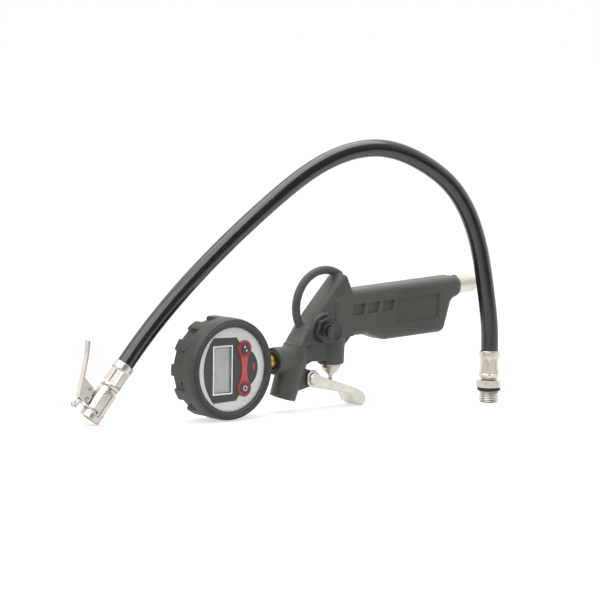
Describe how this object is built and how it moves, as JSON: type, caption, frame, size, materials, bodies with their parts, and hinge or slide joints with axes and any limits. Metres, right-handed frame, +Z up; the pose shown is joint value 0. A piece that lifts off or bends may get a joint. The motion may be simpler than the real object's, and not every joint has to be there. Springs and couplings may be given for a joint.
{
  "type": "tyre inflator with gauge",
  "caption": "Pistol-grip tyre inflator with a booted digital gauge, trigger lever, push deflate valve, hanging hook and a loose hose with a lever clip-on chuck.",
  "frame": {"origin": "middle of the object's box on the floor it stands on", "axes": "+Z up, +X along the gun towards the air inlet, +Y away from the side that carries the display"},
  "size_m": [0.338, 0.0872, 0.1802],
  "materials": {
    "cast_grey": "matte textured paint on a die casting",
    "boot_rubber": "matte moulded rubber",
    "nickel": "nickel plated, slightly dull",
    "steel": "plain steel",
    "spring_steel": "drawn wire",
    "brass": "turned brass",
    "black_plating": "black oxide",
    "seal_rubber": "nitrile rubber",
    "hose_rubber": "smooth glossy rubber",
    "liner_rubber": "smooth rubber",
    "silver_face": "satin silver",
    "dark_print": "dark printed film",
    "red_surround": "red moulded surround",
    "key_rubber": "dark red key",
    "clear_window": "clear acrylic",
    "lcd": "grey liquid crystal cell",
    "case_plastic": "moulded ABS",
    "board": "solder-masked board",
    "cell_wrap": "wrapped cell"
  },
  "bodies": {
    "gun": {"gun_body": "cast_grey", "trigger_pin": "nickel", "pin_clip": "spring_steel", "valve_gland": "nickel", "valve_seat": "brass", "valve_spring": "spring_steel", "stem_seal": "seal_rubber", "deflate_bonnet": "black_plating", "deflate_spring": "spring_steel", "inlet_plug": "nickel", "inlet_washer": "nickel", "inlet_strainer": "brass", "socket_seal": "seal_rubber"},
    "trigger": {"trigger_lever": "nickel"},
    "valve": {"valve_stem": "steel", "valve_washer": "seal_rubber"},
    "deflate": {"deflate_button": "black_plating", "deflate_disc": "seal_rubber"},
    "gauge": {"gauge_boot": "boot_rubber", "gauge_case": "case_plastic", "back_cover": "case_plastic", "cover_screws": "steel", "face_plate": "silver_face", "face_overlay": "dark_print", "button_surround": "red_surround", "display_window": "clear_window", "lcd_module": "lcd", "circuit_board": "board", "tact_switches": "case_plastic", "pressure_sensor": "steel", "battery_cells": "cell_wrap", "battery_contacts": "spring_steel", "gauge_stem": "brass"},
    "mode_key": {"mode_button": "key_rubber"},
    "power_key": {"power_button": "key_rubber"},
    "hose": {"hose_cover": "hose_rubber", "hose_liner": "liner_rubber", "chuck_ferrule": "nickel", "end_ferrule": "nickel", "end_fitting": "nickel", "end_seal": "seal_rubber", "chuck_body": "nickel", "chuck_tail": "nickel", "chuck_seal": "seal_rubber", "valve_depressor": "brass", "chuck_pin": "steel", "lever_spring": "spring_steel"},
    "grip_lever": {"chuck_lever": "nickel"},
    "jaw": {"chuck_jaw": "nickel"}
  },
  "joints": [
    {"name": "trigger_pivot", "type": "hinge", "parent": "gun", "child": "trigger", "pos_m": [0.00408, 0.01094, 0.0211], "axis": [0, -1, 0], "range_deg": [0, 10], "stiffness_Nm_per_rad": 1, "springref_deg": -34.38},
    {"name": "valve_lift", "type": "slide", "parent": "gun", "child": "valve", "axis": [0, 0, 1], "range_m": [0, 0.00365], "deforming": ["valve_spring"]},
    {"name": "deflate_press", "type": "slide", "parent": "gun", "child": "deflate", "axis": [0, 0.9833, 0.1822], "range_m": [0, 0.0025], "stiffness_N_per_m": 400, "springref_m": -0.004},
    {"name": "gauge_swivel", "type": "hinge", "parent": "gun", "child": "gauge", "pos_m": [-0.02592, 0.01094, 0.0343], "axis": [1, 0, 0], "range_deg": [-90, 90]},
    {"name": "mode_press", "type": "slide", "parent": "gauge", "child": "mode_key", "axis": [0, 1, 0], "range_m": [0, 0.0005], "stiffness_N_per_m": 25, "springref_m": -0.001},
    {"name": "power_press", "type": "slide", "parent": "gauge", "child": "power_key", "axis": [0, 1, 0], "range_m": [0, 0.0005], "stiffness_N_per_m": 25, "springref_m": -0.001},
    {"name": "hose_lift", "type": "slide", "parent": "gun", "child": "hose", "axis": [0, 0, 1], "range_m": [0, 0.25]},
    {"name": "chuck_lever_pivot", "type": "hinge", "parent": "hose", "child": "grip_lever", "pos_m": [-0.15857, 0.03725, 0.01699], "axis": [0.2428, 0.9701, 0], "range_deg": [0, 16], "stiffness_Nm_per_rad": 0.3, "springref_deg": -22.92},
    {"name": "jaw_slide", "type": "slide", "parent": "hose", "child": "jaw", "axis": [-0.7798, 0.1952, 0.5948], "range_m": [0, 0.001]}
  ],
  "couplings": [
    {"joint": "valve_lift", "follows": "trigger_pivot", "m_per_rad": 0.02063},
    {"joint": "jaw_slide", "follows": "chuck_lever_pivot", "m_per_rad": 0.0035}
  ]
}
